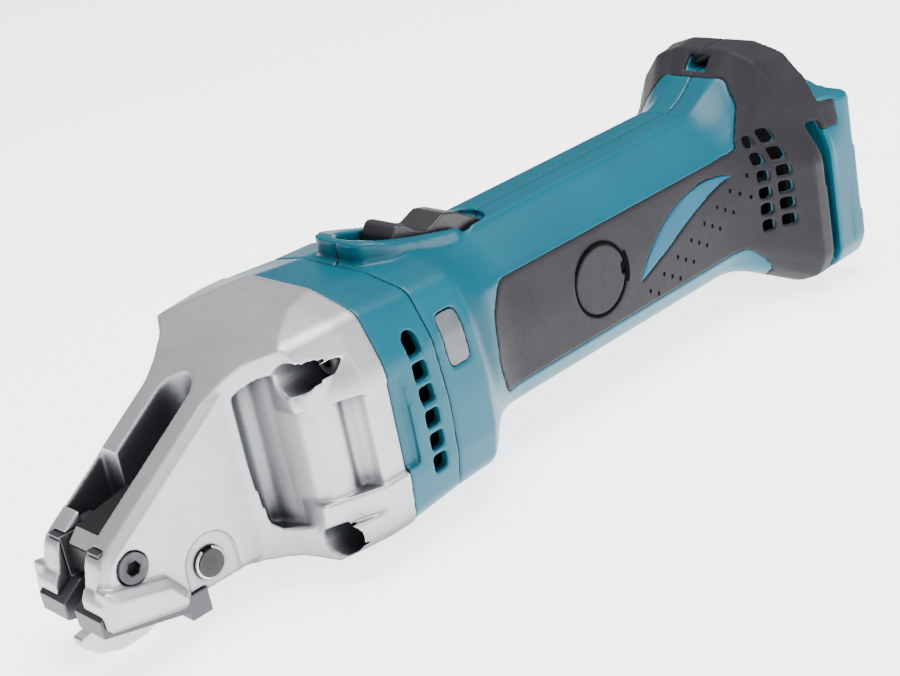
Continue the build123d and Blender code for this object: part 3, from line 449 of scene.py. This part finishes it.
def soften_body():
    """Every outer shell, with edges as they come from a mould."""
    moulded("head_housing", "head_casting", 0.55, 7)
    moulded("front_cover", "front_cover_shell", 0.55, 4)
    for side in ("left", "right"):
        moulded(side + "_housing", side + "_housing_shell", 0.7, 4)
        moulded(side + "_grip_rubber", side + "_grip_skin", 0.6, 4)
        moulded(side + "_grip_accent", side + "_crescent", 0.5, 3, ACCENT)
        moulded(side + "_brush_cap", side + "_cap", 0.35, 3, FINISH["dark_rubber"])
        moulded(side + "_side_blade", side + "_blade", 0.3, 2)
    moulded("center_blade", "centre_blade_ground", 0.35, 2, CENTRE_STEEL)
    moulded("switch_knob", "switch_button", 0.4, 4)
    moulded("light_lens", "light_window", 0.35, 3)


BRUSH_X = 114.0 * MM
CAP_RADIUS = 11.6 * MM
PIVOT = Vector((267.6, 0.0, -20.8)) * MM
CAP_FACE = 24.75 * MM   # outer face of the brush caps


def cap_groove_shades():
    """Dark tube of painted joint shade round each brush cap, with the tab at its rear."""
    for side, name in ((1, "left"), (-1, "right")):
        ring = []
        for i in range(96):
            turn = 2 * pi * i / 96
            ring.append(Vector((BRUSH_X + CAP_RADIUS * cos(turn), side * (CAP_FACE - 0.35 * MM),
                                CAP_RADIUS * sin(turn))))
        tab = []
        for i in range(15):
            turn = pi + radians(24) * (i / 7 - 1)
            reach = CAP_RADIUS + 1.0 * MM
            tab.append(Vector((BRUSH_X + reach * cos(turn), side * (CAP_FACE - 0.5 * MM), reach * sin(turn))))
        built(name + "_cap_groove", [swept_tube(ring, 0.52 * MM), swept_tube(tab, 0.85 * MM, closed=False)],
              name + "_grip_rubber", PAINTED_JOINT_SHADE)


def skin_marks():
    """Three staggered rows of small moulded marks in the skin below each crescent, dark with painted shade."""
    for side, name in ((1, "left"), (-1, "right")):
        skin = bpy.data.objects[name + "_grip_skin"].data
        tree = BVHTree.FromPolygons([v.co for v in skin.vertices], [tuple(f.vertices) for f in skin.polygons])
        parts = []
        for row in range(3):
            for k in range(9):
                x = (93.0 - 7.4 * k - 3.7 * (row % 2)) * MM
                drop = 4.2 + 3.8 * row
                z = (-8.5 + (93.0 - x / MM) * 0.40 - drop) * MM
                if z < -17.5 * MM or x < 40.0 * MM:
                    continue
                hit, normal, _, _ = tree.ray_cast(Vector((x, side * 0.06, z)), Vector((0, -side, 0)))
                if hit is None or abs(hit.y) < 20.0 * MM:
                    continue
                if normal.y * side < 0:
                    normal = -normal
                parts.append(mark(hit, normal))
        built(name + "_skin_marks", parts, name + "_grip_rubber", PAINTED_JOINT_SHADE)


def mark(centre, normal):
    """Low oval button, most of it sunk into the surface it stands on."""
    along = Vector((1, 0, 0)).cross(normal).normalized()
    across = normal.cross(along)
    verts, faces = [], []
    rings, sides = 4, 14
    for i in range(rings):
        tilt = 0.5 * pi * i / rings
        for k in range(sides):
            turn = 2 * pi * k / sides
            flat = 0.85 * MM * cos(tilt) * cos(turn) * along + 0.6 * MM * cos(tilt) * sin(turn) * across
            verts.append(centre + flat + normal * 0.16 * MM * sin(tilt))
    verts.append(centre + normal * 0.16 * MM)
    for i in range(rings - 1):
        for k in range(sides):
            a, b = i * sides + k, i * sides + (k + 1) % sides
            faces.append((a, b, b + sides, a + sides))
    top = len(verts) - 1
    for k in range(sides):
        faces.append(((rings - 1) * sides + k, (rings - 1) * sides + (k + 1) % sides, top))
    faces.append(tuple(range(sides))[::-1])
    return verts, faces


def pin_clips():
    """Bright open clips in the grooves of the blade's pivot pin."""
    parts = []
    for y in (15.35 * MM, -15.35 * MM):
        path = []
        for i in range(41):
            turn = radians(112) + radians(316) * i / 40
            path.append(PIVOT + Vector((4.15 * MM * cos(turn), y, 4.15 * MM * sin(turn))))
        parts.append(swept_tube(path, 0.55 * MM, 10, closed=False))
    clips = built("pin_clips", parts, "retaining_rings", FINISH["bright_steel"])
    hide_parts("retaining_rings")


def narrow_foot():
    """Draws the crown of the foot in towards its front, so that its flanks flare back to the battery guide."""
    for name in ("left_housing_shell", "right_housing_shell", "left_grip_skin", "right_grip_skin"):
        mesh = bpy.data.objects[name].data
        points = points_of(mesh)
        x = points[:, 0] / MM
        up = np.clip((points[:, 2] / MM - 6.0) / 18.0, 0.0, 1.0)
        along = np.clip(np.minimum((x - 2.0) / 22.0, (56.0 - x) / 32.0), 0.0, 1.0)
        points[:, 1] *= 1.0 - 0.22 * ease(up) * ease(along)
        put_points(mesh, points)


def ease(share):
    """Smooth start and stop of a value from 0 to 1."""
    return share * share * (3.0 - 2.0 * share)


def finish_rest():
    """The CAD nodes that show as they are get their material."""
    for node, piece in NODES.items():
        if not piece.hide_render:
            paint(piece, PIN_END if node == "blade_pivot_pin" else FINISH[SLOT_OF[node]])


soften_body()
narrow_foot()
cap_groove_shades()
skin_marks()
pin_clips()
finish_rest()


# ---------------------------------------------------------------- studio and camera

BLADE_TRAVEL = 2.0 * MM  # how far the lower jaw dips when the blade opens
FLOOR_GLOW = 2.8        # lifts the floor to near white without more light from above
SURROUND = 0.55
LAMPS = [("above", (0.10, 0.10, 0.90), 0.7, 16.0),
         ("front", (0.90, 0.55, 0.35), 0.35, 3.0),
         ("side", (0.00, 0.95, 0.35), 0.6, 3.0)]


def studio():
    """Near-white floor and surround, a large soft box overhead and smaller ones that shape the metal."""
    floor_z = CAD_LOW.z - BLADE_TRAVEL
    half = 12.0
    mesh = bpy.data.meshes.new("floor")
    mesh.from_pydata([(-half, -half, floor_z), (half, -half, floor_z), (half, half, floor_z), (-half, half, floor_z)],
                     [], [(0, 1, 2, 3)])
    floor = link("floor", mesh)
    s = Surface("floor_paper", 0.9)
    s.colour(s.ramp(s.noise(200 * MM), shade((0.88, 0.88, 0.88), (0.90, 0.90, 0.90))))
    s.shader.inputs["Emission Color"].default_value = (1.0, 1.0, 1.0, 1.0)
    s.shader.inputs["Emission Strength"].default_value = FLOOR_GLOW
    paint(floor, s.material)
    world = bpy.data.worlds.new("surround")
    world.use_nodes = True
    tree = world.node_tree
    height = tree.nodes.new("ShaderNodeSeparateXYZ")
    tree.links.new(tree.nodes.new("ShaderNodeTexCoord").outputs["Generated"], height.inputs["Vector"])
    ramp = tree.nodes.new("ShaderNodeValToRGB")
    dim, bright = ramp.color_ramp.elements
    dim.position, dim.color = 0.05, (0.24, 0.245, 0.26, 1.0)
    bright.position, bright.color = 0.75, (1.0, 1.0, 1.0, 1.0)
    tree.links.new(height.outputs["Z"], ramp.inputs["Fac"])
    tree.links.new(ramp.outputs["Color"], tree.nodes["Background"].inputs["Color"])
    tree.nodes["Background"].inputs["Strength"].default_value = SURROUND
    SCENE.world = world
    for name, place, size, power in LAMPS:
        lamp = bpy.data.lights.new(name, "AREA")
        lamp.size = size
        lamp.energy = power
        holder = bpy.data.objects.new(name, lamp)
        SCENE.collection.objects.link(holder)
        holder.location = place
        aim = Vector((0.15, 0.0, 0.0)) - Vector(place)
        holder.rotation_mode = "QUATERNION"
        holder.rotation_quaternion = aim.to_track_quat("-Z", "Y")


def camera():
    """Looks back and down at the tool from ahead of its left side, rolled as a hand-held view is."""
    eye = Vector((478.26, 390.55, 209.14)) * MM
    ahead = Vector((-0.58375, -0.71169, -0.39080))
    right = Vector((-0.70812, 0.68175, -0.18379))
    up = Vector((-0.39723, -0.16944, 0.90194))
    lens = bpy.data.cameras.new("camera")
    lens.lens = 71.56
    lens.sensor_width = 36.0
    lens.clip_start = 0.01
    lens.clip_end = 20.0
    holder = bpy.data.objects.new("camera", lens)
    SCENE.collection.objects.link(holder)
    turn = Matrix((right, up, -ahead)).transposed().to_4x4()
    holder.matrix_world = Matrix.Translation(eye) @ turn
    SCENE.camera = holder


studio()
camera()
